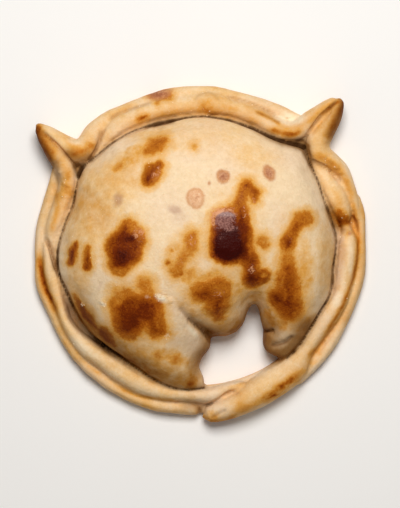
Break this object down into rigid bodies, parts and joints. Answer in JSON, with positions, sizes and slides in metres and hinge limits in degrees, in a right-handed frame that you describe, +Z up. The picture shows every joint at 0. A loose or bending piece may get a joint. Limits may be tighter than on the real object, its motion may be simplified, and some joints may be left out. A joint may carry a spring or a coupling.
{
  "type": "empanada",
  "caption": "Baked filled pastry: a puffed round belly inside a tightly rolled dough rim with two pinched horns, its two ends crossing over a small gap in the fold.",
  "frame": {"origin": "under the middle of the part's bounding box, on the flat face that it rests on", "axes": "+Z up out of the tray, +Y towards the side with the two pinched horns, +X so that the longer crossing end of the rim comes from the +X side"},
  "size_m": [0.1, 0.1015, 0.031],
  "materials": {
    "baked_dough": "baked wheat dough: dry and matt, pale cream to golden, with glossy brown blisters"
  },
  "bodies": {
    "root": {"empanada": "baked_dough"}
  },
  "joints": []
}
